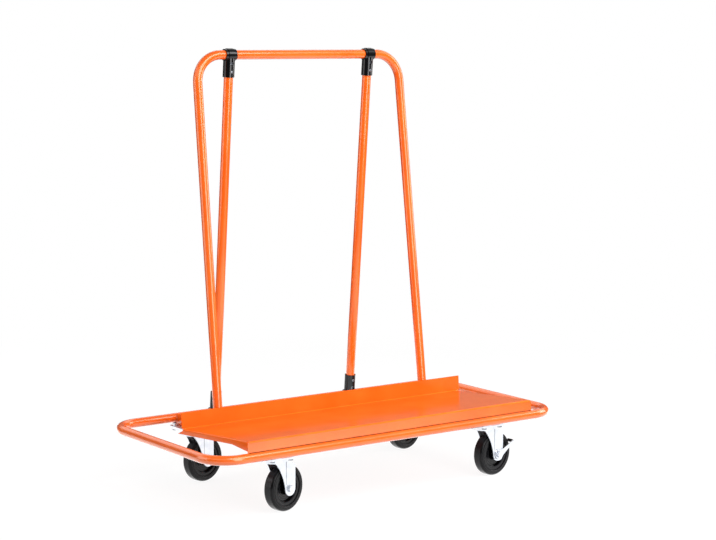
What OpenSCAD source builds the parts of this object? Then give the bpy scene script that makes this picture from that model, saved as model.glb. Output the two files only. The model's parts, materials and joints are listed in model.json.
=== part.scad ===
// Drywall cart: a bent-tube base loop with a sloping sheet deck, a leaning hoop
// held by two braces and clamps, and four swivel casters, two of them with brakes.
// Millimetres. X runs along the cart, -Y is the loading side, Z is up.
// The origin is on the floor, under the middle of the base loop.

/* [Overall] */
// Length of the base loop over its tubes
overall_len = 1168; // [1080:1:1300]
// Width of the base loop over its tubes
overall_w = 560; // [520:5:680]
// Height to the top of the hoop
overall_h = 1190; // [900:10:1400]

/* [Tube] */
// Outside diameter of every tube
tube_d = 25.4; // [24:0.1:28]
// Wall of every tube
tube_wall = 1.5; // [1:0.1:2.5]
// Bend radius of the base loop, to the tube's centre line
corner_r = 76; // [50:1:120]
// Bend radius of the hoop, to the tube's centre line
hoop_bend_r = 76; // [60:1:104]

/* [Crossmembers] */
// Height of the two channels that cross the base loop
channel_h = 32; // [30:0.5:40]
// Sheet thickness of the channels
channel_t = 2.5; // [2:0.1:4]
// How far a channel stops short of the centre line of the long rails
channel_setback = 4; // [2.5:0.5:8]
// How far the ends of a channel are cut down, to stay below the tops of the long rails
channel_crop = 8; // [5:0.5:12]
// Length over which the ends of a channel are cut down
channel_crop_run = 40; // [20:1:70]
// Thickness of the caster pads welded under the channels
pad_t = 4; // [3:0.5:8]

/* [Deck] */
// Length of the deck
deck_len = 955; // [840:5:1000]
// Sheet thickness of the deck
deck_t = 2; // [1.2:0.1:3]
// Outside radius of the deck's folds
deck_bend_r = 4; // [3.5:0.1:8]
// Height of the skirt along the front
skirt_h = 30; // [27:1:45]
// Height of the upturned lip along the rear
lip_h = 44; // [20:1:70]
// Height of the down-turned flange at each end
flange_h = 14; // [10:0.5:24]
// Height of a flange where it meets the skirt
flange_front_h = 25; // [12:0.5:26]
// Length over which a flange deepens towards the skirt
flange_taper = 72; // [20:1:160]
// How far a flange's pointed rear corner runs past the lip
flange_tip = 21; // [4:1:40]

/* [Hoop and braces] */
// Half the distance between the hoop's feet
hoop_foot_x = 353; // [310:1:385]
// Half the distance between the hoop's legs, carried up to its top
hoop_top_x = 341; // [325:1:352]
// Distance of the hoop's feet behind the middle of the base loop
hoop_foot_y = 62; // [30:1:100]
// Backward lean of the hoop from upright, in degrees
hoop_lean = 7.2; // [3:0.1:9]
// Half the distance between the braces
brace_x = 235; // [120:1:262]

/* [Clamps] */
// Wall of the clamp shells over the tubes
clamp_t = 3; // [2:0.1:5]
// Width of the band round the rail
clamp_band_w = 34; // [28:1:44]
// Extra height of the rib round the band
clamp_rib = 1.6; // [0.5:0.1:3]
// Width of the rib round the band
clamp_rib_w = 18; // [8:1:26]
// Length of the sleeve along the brace, from the rail's centre line
clamp_len = 60; // [52:1:80]
// Gap between the two halves of a clamp
clamp_split = 0.8; // [0.4:0.1:2]
// Width of the seam lips along a clamp's sleeve
clamp_lip = 1.2; // [0.6:0.1:3]
// Thickness of one seam lip
clamp_lip_t = 2.4; // [1.5:0.1:4]
// Diameter of the clamp bolts
clamp_bolt_d = 6; // [5:0.5:8]
// Distance of a clamp bolt from the rail's centre line
clamp_bolt_z = 22; // [21:0.5:24]
// Distance from the rail's centre line to the end of the brace tube
brace_end = 31; // [30:1:42]

/* [Casters] */
// Height of a caster, floor to the top of its plate
caster_h = 156; // [150:1:175]
// Distance of the casters from the middle of the base loop, across the cart
caster_y = 201; // [170:1:206]
// How far the casters stand outside the middle of their channel
caster_out = 3; // [0:0.5:4]
// Angle that the front left caster is turned to at rest, in degrees
front_left_turn = 14; // [0:0.5:90]
// Angle that the front right caster is turned to at rest, in degrees
front_right_turn = 7.5; // [0:0.5:90]
// Angle that the rear left caster is turned to at rest, in degrees
rear_left_turn = 11; // [0:0.5:90]
// Angle that the rear right caster is turned to at rest, in degrees
rear_right_turn = 10; // [0:0.5:90]
// Distance of the axle behind the swivel axis
caster_trail = 42; // [38:0.5:46]
// Size of a top plate along the cart
plate_x = 80; // [76:1:100]
// Size of a top plate across the cart
plate_y = 105; // [102:1:120]
// Thickness of a top plate
plate_t = 4; // [3:0.5:6]
// Corner radius of a top plate
plate_corner_r = 8; // [3:0.5:12]
// Hole spacing of a top plate along the cart
plate_hole_x = 56; // [54:1:60]
// Hole spacing of a top plate across the cart
plate_hole_y = 82; // [80:1:86]
// Diameter of the kingpin's shank
kingpin_d = 12; // [10:0.5:14]
// Radius of the upper ring of swivel balls
race_r = 23; // [22:0.5:25]
// Diameter of the upper swivel balls
ball_d = 6; // [5:0.1:6.4]
// Number of upper swivel balls
ball_count = 18; // [8:1:20]
// Radius of the lower ring of swivel balls
lower_race_r = 12; // [11.5:0.5:12.5]
// Diameter of the lower swivel balls
lower_ball_d = 5; // [4:0.1:5.2]
// Number of lower swivel balls
lower_ball_count = 12; // [6:1:13]

/* [Fork] */
// Radius of the fork's crown
crown_r = 30; // [29:0.5:34]
// Thickness of the crown, which carries both ball grooves
crown_t = 5; // [4.6:0.1:7]
// Depth of the rim under the crown
crown_rim = 6; // [3:0.5:8]
// Sheet thickness of the fork
fork_t = 3; // [2.5:0.1:4]
// Gap between a tyre and each fork leg
side_gap = 4; // [3.5:0.5:8]
// Gap between the kingpin's collar and the legs, which bend inward towards it
collar_gap = 1.2; // [0.8:0.1:2.5]
// Distance of a leg's rear edge behind the axle
leg_rear = 21; // [18:0.5:24]
// Radius of a leg's lower end
leg_end_r = 19.5; // [16:0.5:21]
// Radius of the hollow front edge of a leg
leg_hollow_r = 150; // [120:1:180]

/* [Wheels] */
// Diameter of a wheel
wheel_d = 125; // [110:1:135]
// Width of a tyre
wheel_w = 32; // [24:1:34]
// Radius of the tyre's shoulders
tyre_shoulder_r = 8; // [3:0.5:11]
// Radial thickness of the tyre
tyre_t = 16; // [12:0.5:20]
// Height of the ring moulded on each side wall of a tyre
tyre_ring_h = 0.8; // [0.3:0.1:1]
// Width of the ring moulded on each side wall of a tyre
tyre_ring_w = 4; // [2:0.5:5]
// Width of the wheel core's rim
rim_w = 27; // [18:0.5:30]
// Radial thickness of the wheel core's rim
rim_t = 7; // [4:0.5:10]
// Thickness of the wheel core's web
web_t = 9; // [5:0.5:16]
// Diameter of the wheel's hub
hub_d = 34; // [28:0.5:40]
// Diameter of the axle bolt
axle_d = 10; // [8:0.5:12]
// Wall of the steel sleeve that the wheel runs on
sleeve_t = 2; // [1:0.1:3]

/* [Brakes] */
// Thickness of a brake lever
brake_t = 3; // [2:0.1:4]
// Gap between a tyre and the pedal over it
pedal_gap = 1.5; // [1:0.1:6]
// Angle of a released pedal above level, in degrees
brake_up = 25; // [15:1:40]
// Depth of a pedal, along the lever
pedal_depth = 8; // [6:0.5:11]
// Width of a pedal, across the tyre
pedal_w = 22; // [12:1:40]

/* [Fasteners] */
// Diameter of the bolts that hold the casters
plate_bolt_d = 8; // [6:0.5:10]
// Diameter of the bolts through the hoop's feet
leg_bolt_d = 8; // [6:0.5:10]

/* [Fits] */
// Gap between a tube and what holds it
tube_fit = 0.3; // [0.1:0.05:0.6]
// Gap between pieces that rest on one another
seat_gap = 0.2; // [0.05:0.05:0.4]
// Radial play of a bolt in its hole
bolt_fit = 0.3; // [0.1:0.05:0.6]
// Gap between a tyre and the wheel core inside it
tyre_fit = 0.1; // [0.05:0.05:0.3]
// Radial play of a wheel on its sleeve
run_fit = 0.05; // [0.02:0.01:0.1]
// Gap between pieces that turn past one another
turn_gap = 0.5; // [0.3:0.05:1]

/* [Hidden] */
$fn = 64;
over = 1;                // overrun of a cut past the face it opens
orange = "#f4661e";
black_steel = "#2a2a2c";
zinc = "#d4d6d8";
black_rubber = "#1b1b1c";
black_core = "#242426";

tube_r = tube_d / 2;
channel_z = caster_h + pad_t;
channel_floor_z = channel_z + channel_t;
channel_top_z = channel_z + channel_h;
channel_in = tube_d + 2 * tube_fit;
channel_w = channel_in + 2 * channel_t;
rail_z = channel_floor_z + tube_r;
rail_x = overall_len / 2 - tube_r;
rail_y = overall_w / 2 - tube_r;
channel_half_y = rail_y - channel_setback;

// Hoop, in its own leaning plane: the foot point is on the channel's bolt line
top_z = overall_h - tube_r;
hoop_len = (top_z - rail_z) / cos(hoop_lean);
hoop_top_y = hoop_foot_y + (top_z - rail_z) * tan(hoop_lean);
leg_splay = atan2(hoop_foot_x - hoop_top_x, hoop_len);
bend_turn = 90 - leg_splay;
bend_run = hoop_bend_r * tan(bend_turn / 2);
leg_len = hoop_len / cos(leg_splay) - bend_run;

// Deck: it rests on the front rail by its skirt and on the channels at the rear
deck_front_y = -rail_y;
deck_front_z = rail_z + tube_r + seat_gap + skirt_h;
deck_rear_z = channel_top_z + seat_gap + deck_t;
leg_front_y = hoop_foot_y + (deck_rear_z - rail_z) * tan(hoop_lean) - tube_r / cos(hoop_lean);
deck_rear_y = leg_front_y - tube_fit;
deck_tilt = atan2(deck_front_z - deck_rear_z, deck_rear_y - deck_front_y);
deck_depth = norm([deck_rear_y - deck_front_y, deck_front_z - deck_rear_z]);
deck_half = deck_len / 2;
deck_flat = deck_half - deck_bend_r;

// Braces run from the hoop's top rail to the rear rail of the base loop
brace_tilt = atan2(rail_y - hoop_top_y, top_z - rail_z);
brace_len = norm([rail_y - hoop_top_y, top_z - rail_z]);
clamp_r = tube_r + tube_fit + clamp_t;
clamp_head_d = 1.7 * clamp_bolt_d;
clamp_head_h = 0.6 * clamp_bolt_d;
clamp_seat_y = 0.55 * clamp_r;     // where a bolt head or nut seats inside its recess

// Casters: z = 0 at the top of the plate, the axle trails towards +X
wheel_r = wheel_d / 2;
axle_x = caster_trail;
axle_z = wheel_r - caster_h;
race_drop = 2;                       // depth of the upper race under the plate
race_gap = 1;                        // daylight between the upper race and the crown
crown_z = -plate_t - race_drop - race_gap;
ball_z = crown_z + race_gap / 2;
groove_fit = 0.15;
crown_low_z = crown_z - crown_t;
lower_ball_z = crown_low_z - race_gap / 2;
collar_z = crown_low_z - race_gap;
collar_t = 4;
collar_rim = 1;                      // steel outside the lower ball race
collar_r = lower_race_r + lower_ball_d / 2 + collar_rim;
kingpin_head_d = 1.6 * kingpin_d;
kingpin_head_h = 2;
fork_in = wheel_w + 2 * side_gap;
leg_face = fork_in / 2 + fork_t;     // outer face of a fork leg
bolt_end = 2;                        // bolt showing past its nut
race_rim = 2;                        // steel each side of the upper ball race
pinch_x = caster_trail - 0.36 * (leg_rear + leg_end_r);   // where a leg starts to bend inward
sleeve_r = axle_d / 2 + bolt_fit + sleeve_t;
tyre_in_r = wheel_r - tyre_t;
rim_out_r = tyre_in_r - tyre_fit;
rim_in_r = rim_out_r - rim_t;
hub_w = fork_in - 2 * turn_gap;
brake_reach = wheel_r + pedal_gap + pedal_depth;

function hex_af(d) = 1.6 * d;                       // across the flats of a bolt head or nut
function hex_r(d) = hex_af(d) / 2 / cos(30);
function head_h(d) = 0.64 * d;
function nut_h(d) = 0.8 * d;

casters = [
    ["front_left", -1, -1, false, front_left_turn],
    ["front_right", 1, -1, true, front_right_turn],
    ["rear_left", -1, 1, false, rear_left_turn],
    ["rear_right", 1, 1, true, rear_right_turn]
];
caster_pieces = [
    "top_plate", "kingpin", "swivel_balls", "fork",
    "axle_bolt", "axle_sleeve", "wheel_core", "tyre"
];
clamps = [
    ["upper_left", -1, 1],
    ["upper_right", 1, 1],
    ["lower_left", -1, 0],
    ["lower_right", 1, 0]
];
clamp_pieces = ["clamp_front", "clamp_rear"];
frame_pieces = [
    "base_front_rail", "base_rear_rail", "base_left_bow", "base_right_bow",
    "left_channel", "right_channel", "caster_pads", "deck", "hoop",
    "left_brace", "right_brace", "clamp_bolts", "clamp_nuts",
    "foot_bolts", "foot_nuts", "caster_bolts", "caster_nuts"
];

// Tube stock
module tube_ring() {
    difference() {
        circle(r = tube_r);
        circle(r = tube_r - tube_wall);
    }
}

module tube(len) {
    linear_extrude(height = len) tube_ring();
}

module tube_bend(radius, angle) {
    rotate_extrude(angle = angle) translate([radius, 0]) tube_ring();
}

// Hexagon bolt along +Z: the head stands below z = 0
module hex_bolt(d, len) {
    translate([0, 0, -head_h(d)]) cylinder(r = hex_r(d), h = head_h(d), $fn = 6);
    cylinder(d = d, h = len);
}

module hex_nut(d) {
    difference() {
        cylinder(r = hex_r(d), h = nut_h(d), $fn = 6);
        translate([0, 0, -over]) cylinder(d = d + 2 * seat_gap, h = nut_h(d) + 2 * over);
    }
}

// Base loop
module long_rail(side) {
    half = rail_x - corner_r;
    color(orange)
        translate([-half, side * rail_y, rail_z]) rotate([0, 90, 0]) tube(2 * half);
}

module end_bow(side) {
    half = rail_y - corner_r;
    color(orange) mirror([side < 0 ? 1 : 0, 0, 0]) {
        translate([rail_x, -half, rail_z]) rotate([-90, 0, 0]) tube(2 * half);
        for (flip = [0, 1])
            mirror([0, flip, 0]) translate([rail_x - corner_r, half, rail_z])
                tube_bend(corner_r, 90);
    }
}

// Turns an outline drawn in depth and height to stand across the cart
module across(thick) {
    rotate([90, 0, 90]) linear_extrude(height = thick) children();
}

// Crossmembers: channels open at the top, coped round the long rails
module channel_section() {
    difference() {
        translate([-channel_w / 2, 0]) square([channel_w, channel_h]);
        translate([-channel_in / 2, channel_t]) square([channel_in, channel_h]);
    }
}

module channel_end_cut() {
    polygon([
        [channel_half_y - channel_crop_run, channel_top_z],
        [channel_half_y, channel_top_z - channel_crop],
        [channel_half_y + over, channel_top_z - channel_crop],
        [channel_half_y + over, channel_top_z + over],
        [channel_half_y - channel_crop_run, channel_top_z + over]
    ]);
}

module channel(side) {
    color(orange) translate([side * hoop_foot_x, 0, 0]) difference() {
        translate([0, 0, channel_z]) rotate([90, 0, 0])
            linear_extrude(height = 2 * channel_half_y, center = true) channel_section();
        for (end = [-1, 1])
            translate([0, end * rail_y, rail_z]) rotate([0, 90, 0])
                cylinder(r = tube_r + seat_gap, h = channel_w + 2 * over, center = true);
        for (flip = [0, 1]) mirror([0, flip, 0]) translate([-channel_w / 2 - over, 0, 0])
            across(channel_w + 2 * over) channel_end_cut();
        translate([0, hoop_foot_y, rail_z]) rotate([0, 90, 0])
            cylinder(d = leg_bolt_d + 2 * bolt_fit, h = channel_w + 2 * over, center = true);
    }
}

// Caster seats
module at_caster(c) {
    translate([c[1] * (hoop_foot_x + caster_out), c[2] * caster_y, caster_h]) children();
}

module at_plate_holes() {
    for (sx = [-1, 1], sy = [-1, 1])
        translate([sx * plate_hole_x / 2, sy * plate_hole_y / 2, 0]) children();
}

module plate_outline() {
    inner = [plate_x / 2 - plate_corner_r, plate_y / 2 - plate_corner_r];
    square([plate_x, 2 * inner[1]], center = true);
    square([2 * inner[0], plate_y], center = true);
    for (sx = [-1, 1], sy = [-1, 1])
        translate([sx * inner[0], sy * inner[1]]) circle(r = plate_corner_r);
}

module caster_pads() {
    color(zinc) for (c = casters) at_caster(c) difference() {
        linear_extrude(height = pad_t) plate_outline();
        at_plate_holes() translate([0, 0, -over])
            cylinder(d = plate_bolt_d + 2 * bolt_fit, h = pad_t + 2 * over);
    }
}

module caster_bolts() {
    grip = plate_t + pad_t + nut_h(plate_bolt_d) + bolt_end;
    color(zinc) for (c = casters) at_caster(c) at_plate_holes()
        translate([0, 0, -plate_t]) hex_bolt(plate_bolt_d, grip);
}

module caster_nuts() {
    color(zinc) for (c = casters) at_caster(c) at_plate_holes()
        translate([0, 0, pad_t]) hex_nut(plate_bolt_d);
}

// Deck: one folded sheet with a front skirt, a rear lip and two end flanges
module fold(radius) {
    intersection() {
        difference() {
            circle(r = radius);
            circle(r = radius - deck_t);
        }
        square(radius);
    }
}

module deck_section() {
    translate([deck_bend_r, -deck_bend_r]) mirror([1, 0]) fold(deck_bend_r);
    translate([deck_bend_r, -deck_t]) square([deck_depth - 2 * deck_bend_r, deck_t]);
    translate([deck_depth - deck_bend_r, deck_bend_r - deck_t]) mirror([0, 1]) fold(deck_bend_r);
}

module flange_section() {
    translate([deck_flat, -deck_bend_r]) fold(deck_bend_r);
}

module flange_outline() {
    polygon([
        [deck_t + seat_gap, -deck_bend_r],
        [deck_t + seat_gap, -flange_front_h],
        [deck_t + flange_taper, -flange_h],
        [deck_depth + flange_tip, -flange_h],
        [deck_depth - deck_bend_r, -deck_bend_r]
    ]);
}

module deck() {
    color(orange) translate([0, deck_front_y, deck_front_z]) rotate([-deck_tilt, 0, 0]) {
        translate([-deck_flat, 0, 0]) across(2 * deck_flat) deck_section();
        translate([-deck_half, 0, -skirt_h]) cube([deck_len, deck_t, skirt_h - deck_bend_r]);
        translate([-deck_half, deck_depth - deck_t, deck_bend_r - deck_t])
            cube([deck_len, deck_t, lip_h - deck_bend_r + deck_t]);
        for (flip = [0, 1]) mirror([flip, 0, 0]) {
            translate([0, deck_depth - deck_bend_r, 0]) rotate([90, 0, 0])
                linear_extrude(height = deck_depth - 2 * deck_bend_r) flange_section();
            translate([deck_half - deck_t, 0, 0]) across(deck_t) flange_outline();
        }
    }
}

// Hoop: one tube bent over the top, its feet standing in the channels
module in_hoop_plane() {
    translate([0, hoop_foot_y, rail_z]) rotate([-hoop_lean, 0, 0]) children();
}

module hoop_side() {
    foot_run = 2 * tube_d;           // the leg starts below the floor and is cut to it
    translate([hoop_foot_x, 0, 0]) rotate([0, -leg_splay, 0])
        translate([0, 0, -foot_run]) tube(foot_run + leg_len);
    translate([hoop_top_x - bend_run, 0, hoop_len - hoop_bend_r])
        rotate([90, 0, 0]) rotate([0, 0, leg_splay]) tube_bend(hoop_bend_r, bend_turn);
}

module hoop() {
    half_top = hoop_top_x - bend_run;
    color(orange) difference() {
        in_hoop_plane() {
            for (flip = [0, 1]) mirror([flip, 0, 0]) hoop_side();
            translate([-half_top, 0, hoop_len]) rotate([0, 90, 0]) tube(2 * half_top);
        }
        for (side = [-1, 1]) translate([side * hoop_foot_x, hoop_foot_y, rail_z]) {
            rotate([0, 90, 0])
                cylinder(d = leg_bolt_d + 2 * bolt_fit, h = tube_d + 2 * over, center = true);
            translate([-tube_d, -tube_d, -tube_r - 3 * tube_d + seat_gap])
                cube([2 * tube_d, 2 * tube_d, 3 * tube_d]);
        }
    }
}

module foot_bolts() {
    color(zinc) for (side = [-1, 1])
        translate([side * (hoop_foot_x + channel_w / 2), hoop_foot_y, rail_z])
            rotate([0, -side * 90, 0])
                hex_bolt(leg_bolt_d, channel_w + nut_h(leg_bolt_d) + bolt_end);
}

module foot_nuts() {
    color(zinc) for (side = [-1, 1])
        translate([side * (hoop_foot_x - channel_w / 2), hoop_foot_y, rail_z])
            rotate([0, -side * 90, 0]) hex_nut(leg_bolt_d);
}

// Braces and their clamps
module at_rear_rail(side) {
    translate([side * brace_x, rail_y, rail_z]) rotate([brace_tilt, 0, 0]) children();
}

module brace(side) {
    color(orange) at_rear_rail(side)
        translate([0, 0, brace_end]) tube(brace_len - 2 * brace_end);
}

// A clamp's own frame: the rail along X, the sleeve along +Z, its bolt along Y
module at_clamp(c) {
    at_rear_rail(c[1]) translate([0, 0, c[2] * brace_len]) mirror([0, 0, c[2]]) children();
}

module clamp_body() {
    rotate([0, 90, 0]) cylinder(r = clamp_r, h = clamp_band_w, center = true);
    rotate([0, 90, 0]) cylinder(r = clamp_r + clamp_rib, h = clamp_rib_w, center = true);
    cylinder(r = clamp_r, h = clamp_len);
}

module clamp_half(c, side) {
    lip_y = clamp_split / 2;
    bore_r = tube_r + tube_fit;
    color(black_steel) at_clamp(c) mirror([0, side < 0 ? 1 : 0, 0]) difference() {
        union() {
            clamp_body();
            for (flip = [0, 1]) mirror([flip, 0, 0])
                translate([bore_r, lip_y, bore_r])
                    cube([clamp_t + clamp_lip, clamp_lip_t, clamp_len - bore_r]);
        }
        rotate([0, 90, 0]) cylinder(r = bore_r, h = clamp_band_w + 2 * over, center = true);
        translate([0, 0, brace_end - seat_gap]) cylinder(r = bore_r, h = clamp_len);
        translate([0, 0, clamp_bolt_z]) rotate([-90, 0, 0]) {
            cylinder(d = clamp_bolt_d + 2 * bolt_fit, h = 2 * clamp_r);
            translate([0, 0, clamp_seat_y])
                cylinder(d = clamp_head_d + 4 * bolt_fit, h = 2 * clamp_r);
        }
        translate([-2 * clamp_r, lip_y - 4 * clamp_r, -2 * clamp_r])
            cube([4 * clamp_r, 4 * clamp_r, clamp_len + 4 * clamp_r]);
    }
}

module clamp_bolts() {
    grip = 2 * clamp_seat_y + clamp_head_h;
    color(zinc) for (c = clamps) at_clamp(c)
        translate([0, -clamp_seat_y, clamp_bolt_z]) rotate([-90, 0, 0]) {
            translate([0, 0, -clamp_head_h]) difference() {
                cylinder(d = clamp_head_d, h = clamp_head_h);
                translate([0, 0, -over])
                    cylinder(d = clamp_bolt_d, h = clamp_head_h / 2 + over, $fn = 6);
            }
            cylinder(d = clamp_bolt_d, h = grip);
        }
}

module clamp_nuts() {
    color(zinc) for (c = clamps) at_clamp(c)
        translate([0, clamp_seat_y, clamp_bolt_z]) rotate([-90, 0, 0]) difference() {
            cylinder(d = clamp_head_d, h = clamp_head_h, $fn = 6);
            translate([0, 0, -over])
                cylinder(d = clamp_bolt_d + 2 * seat_gap, h = clamp_head_h + 2 * over);
        }
}

// Caster swivel: plate and kingpin stay with the cart, the fork turns on the balls
module ball_groove(radius, ball) {
    rotate_extrude() translate([radius, 0]) circle(d = ball + 2 * groove_fit);
}

module top_plate(c) {
    race_w = ball_d + 2 * race_rim;
    pin_r = kingpin_d / 2 + seat_gap;
    head_r = kingpin_head_d / 2 + seat_gap;
    color(zinc) at_caster(c) difference() {
        union() {
            translate([0, 0, -plate_t]) linear_extrude(height = plate_t) plate_outline();
            translate([0, 0, -plate_t - race_drop]) linear_extrude(height = race_drop)
                difference() {
                    circle(r = race_r + race_w / 2);
                    circle(r = race_r - race_w / 2);
                }
        }
        at_plate_holes() translate([0, 0, -plate_t - over])
            cylinder(d = plate_bolt_d + 2 * bolt_fit, h = plate_t + 2 * over);
        translate([0, 0, -plate_t - over]) cylinder(r = pin_r, h = plate_t + 2 * over);
        translate([0, 0, -kingpin_head_h]) cylinder(r = head_r, h = kingpin_head_h + over);
        translate([0, 0, ball_z]) ball_groove(race_r, ball_d);
    }
}

module kingpin(c) {
    rivet_h = 3;
    color(zinc) at_caster(c) difference() {
        union() {
            translate([0, 0, -kingpin_head_h]) cylinder(d = kingpin_head_d, h = kingpin_head_h);
            translate([0, 0, collar_z - collar_t]) cylinder(d = kingpin_d, h = collar_t - collar_z);
            translate([0, 0, collar_z - collar_t]) cylinder(r = collar_r, h = collar_t);
            translate([0, 0, collar_z - collar_t - rivet_h])
                cylinder(d = kingpin_head_d, h = rivet_h);
        }
        translate([0, 0, lower_ball_z]) ball_groove(lower_race_r, lower_ball_d);
    }
}

module at_swivel(c) {
    at_caster(c) rotate([0, 0, c[4]]) children();
}

module swivel_balls(c) {
    color(zinc) at_swivel(c) {
        for (i = [0 : ball_count - 1]) rotate([0, 0, i * 360 / ball_count])
            translate([race_r, 0, ball_z]) sphere(d = ball_d);
        for (i = [0 : lower_ball_count - 1]) rotate([0, 0, i * 360 / lower_ball_count])
            translate([lower_race_r, 0, lower_ball_z]) sphere(d = lower_ball_d);
    }
}

// Fork: a dished crown and two tapered legs, hollow along the front edge
module leg_outline() {
    crown_mid = crown_z - crown_t / 2;
    rear_shoulder_z = axle_z + wheel_r;
    crown_edge_x = sqrt(crown_r * crown_r - leg_face * leg_face);
    difference() {
        union() {
            polygon([
                [-crown_r + fork_t, crown_mid],
                [crown_edge_x, crown_mid],
                [axle_x + leg_rear, rear_shoulder_z],
                [axle_x + leg_rear, axle_z],
                [-crown_r + fork_t, axle_z]
            ]);
            translate([axle_x + leg_rear - leg_end_r, axle_z]) circle(r = leg_end_r);
        }
        hollow_drop = wheel_r / 3;
        hollow_run = sqrt(pow(leg_hollow_r, 2) - pow(hollow_drop, 2));
        translate([axle_x + leg_rear - 2 * leg_end_r - hollow_run, axle_z - hollow_drop])
            circle(r = leg_hollow_r);
    }
}

module leg_plan() {
    front_x = -crown_r - over;
    pinch_in = (pinch_x - front_x) / pinch_x * (fork_in / 2 - collar_r - collar_gap);
    polygon([
        [axle_x + 2 * leg_rear, fork_in / 2],
        [axle_x + 2 * leg_rear, leg_face],
        [pinch_x, leg_face],
        [front_x, leg_face - pinch_in],
        [front_x, fork_in / 2 - pinch_in],
        [pinch_x, fork_in / 2]
    ]);
}

module fork_leg() {
    intersection() {
        rotate([90, 0, 0]) linear_extrude(height = 4 * leg_face, center = true) leg_outline();
        translate([0, 0, 2 * axle_z]) linear_extrude(height = -2 * axle_z) leg_plan();
    }
}

module fork(c) {
    color(zinc) at_swivel(c) difference() {
        union() {
            translate([0, 0, crown_low_z]) cylinder(r = crown_r, h = crown_t);
            translate([0, 0, crown_low_z - crown_rim]) linear_extrude(height = crown_rim)
                difference() {
                    circle(r = crown_r);
                    circle(r = crown_r - fork_t);
                }
            for (flip = [0, 1]) mirror([0, flip, 0]) fork_leg();
        }
        translate([0, 0, crown_low_z - over])
            cylinder(d = kingpin_d + 2 * turn_gap, h = crown_t + 2 * over);
        translate([0, 0, ball_z]) ball_groove(race_r, ball_d);
        translate([0, 0, lower_ball_z]) ball_groove(lower_race_r, lower_ball_d);
        translate([axle_x, 0, axle_z]) rotate([90, 0, 0])
            cylinder(d = axle_d + 2 * bolt_fit, h = 4 * leg_face, center = true);
    }
}

// Axle and wheel
module at_axle(c) {
    at_swivel(c) translate([axle_x, 0, axle_z]) rotate([-90, 0, 0]) children();
}

module axle_bolt(c) {
    head_face = leg_face + (c[3] ? brake_t + 2 * seat_gap : 0);
    color(zinc) at_axle(c) {
        translate([0, 0, -head_face])
            hex_bolt(axle_d, head_face + leg_face + nut_h(axle_d) + bolt_end);
        translate([0, 0, leg_face]) hex_nut(axle_d);
    }
}

module axle_sleeve(c) {
    color(zinc) at_axle(c) difference() {
        cylinder(r = sleeve_r, h = fork_in - 2 * seat_gap, center = true);
        cylinder(d = axle_d + 2 * bolt_fit, h = fork_in, center = true);
    }
}

module wheel_core(c) {
    bore_r = sleeve_r + run_fit;
    hub_r = hub_d / 2;
    step = (rim_w - web_t) / 4;
    half = [
        [bore_r, hub_w / 2],
        [hub_r - step / 2, hub_w / 2],
        [hub_r, hub_w / 2 - step / 2],
        [hub_r + step / 2, web_t / 2],
        [rim_in_r - step, web_t / 2],
        [rim_in_r, rim_w / 2],
        [rim_out_r, rim_w / 2]
    ];
    count = len(half);
    lower = [for (i = [1 : count]) [half[count - i][0], -half[count - i][1]]];
    color(black_core) at_axle(c) rotate_extrude() polygon(concat(half, lower));
}

module tyre(c) {
    shoulder = wheel_w / 2 - tyre_shoulder_r;
    ring_r = tyre_in_r + (tyre_t - tyre_shoulder_r) / 2;
    ring_y = wheel_w / 2 + tyre_ring_h - tyre_ring_w / 2;
    color(black_rubber) at_axle(c) rotate_extrude() {
        translate([tyre_in_r, -wheel_w / 2]) square([tyre_t - tyre_shoulder_r, wheel_w]);
        translate([tyre_in_r, -shoulder]) square([tyre_t, 2 * shoulder]);
        for (side = [-1, 1]) {
            translate([wheel_r - tyre_shoulder_r, side * shoulder]) circle(r = tyre_shoulder_r);
            translate([ring_r, side * ring_y]) circle(d = tyre_ring_w);
        }
    }
}

// Side brake: a lever on the axle with a foot pedal over the tyre
module brake_outline() {
    arm_len = brake_reach - pedal_depth / 2;
    hub_wall = 4;
    hub_r = hex_r(axle_d) + hub_wall;
    tail_w = 5;
    tail_r = 2 * hub_r + tail_w;
    circle(r = hub_r);
    polygon([
        [0, hub_r],
        [hub_r, 0.8 * hub_r],
        [arm_len * cos(brake_up), arm_len * sin(brake_up) + pedal_depth / 4],
        [arm_len * cos(brake_up), arm_len * sin(brake_up) - pedal_depth / 2],
        [1.6 * hub_r, -hub_r / 4],
        [hub_r, -hub_r],
        [0, -hub_r]
    ]);
    intersection() {
        translate([0, hub_r]) difference() {
            circle(r = tail_r);
            circle(r = tail_r - tail_w);
        }
        translate([-2.2 * hub_r, -3 * hub_r]) square([3.2 * hub_r, 2.2 * hub_r]);
    }
}

module brake_lever(c) {
    inner = leg_face + seat_gap;
    color(zinc) at_swivel(c) translate([axle_x, 0, axle_z]) difference() {
        union() {
            translate([0, -inner, 0]) rotate([90, 0, 0])
                linear_extrude(height = brake_t) brake_outline();
            rotate([0, -brake_up, 0])
                translate([brake_reach - pedal_depth, -inner - brake_t, -brake_t / 2])
                    cube([pedal_depth, pedal_w, brake_t]);
        }
        rotate([90, 0, 0])
            cylinder(d = axle_d + 2 * bolt_fit, h = 4 * leg_face, center = true);
    }
}

long_rail(-1);  // base_front_rail
long_rail(1);  // base_rear_rail
end_bow(-1);  // base_left_bow
end_bow(1);  // base_right_bow
channel(-1);  // left_channel
channel(1);  // right_channel
caster_pads();
deck();
hoop();
brace(-1);  // left_brace
brace(1);  // right_brace
clamp_bolts();
clamp_nuts();
foot_bolts();
foot_nuts();
caster_bolts();
caster_nuts();
for (c = clamps) {
    clamp_half(c, -1);
    clamp_half(c, 1);
}
for (c = casters) {
    top_plate(c);
    kingpin(c);
    swivel_balls(c);
    fork(c);
    axle_bolt(c);
    axle_sleeve(c);
    wheel_core(c);
    tyre(c);
    if (c[3]) brake_lever(c);
}
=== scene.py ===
import json
from math import atan2, cos, pi, radians, sin, sqrt

import bmesh
import bpy
from mathutils import Matrix, Vector


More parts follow.
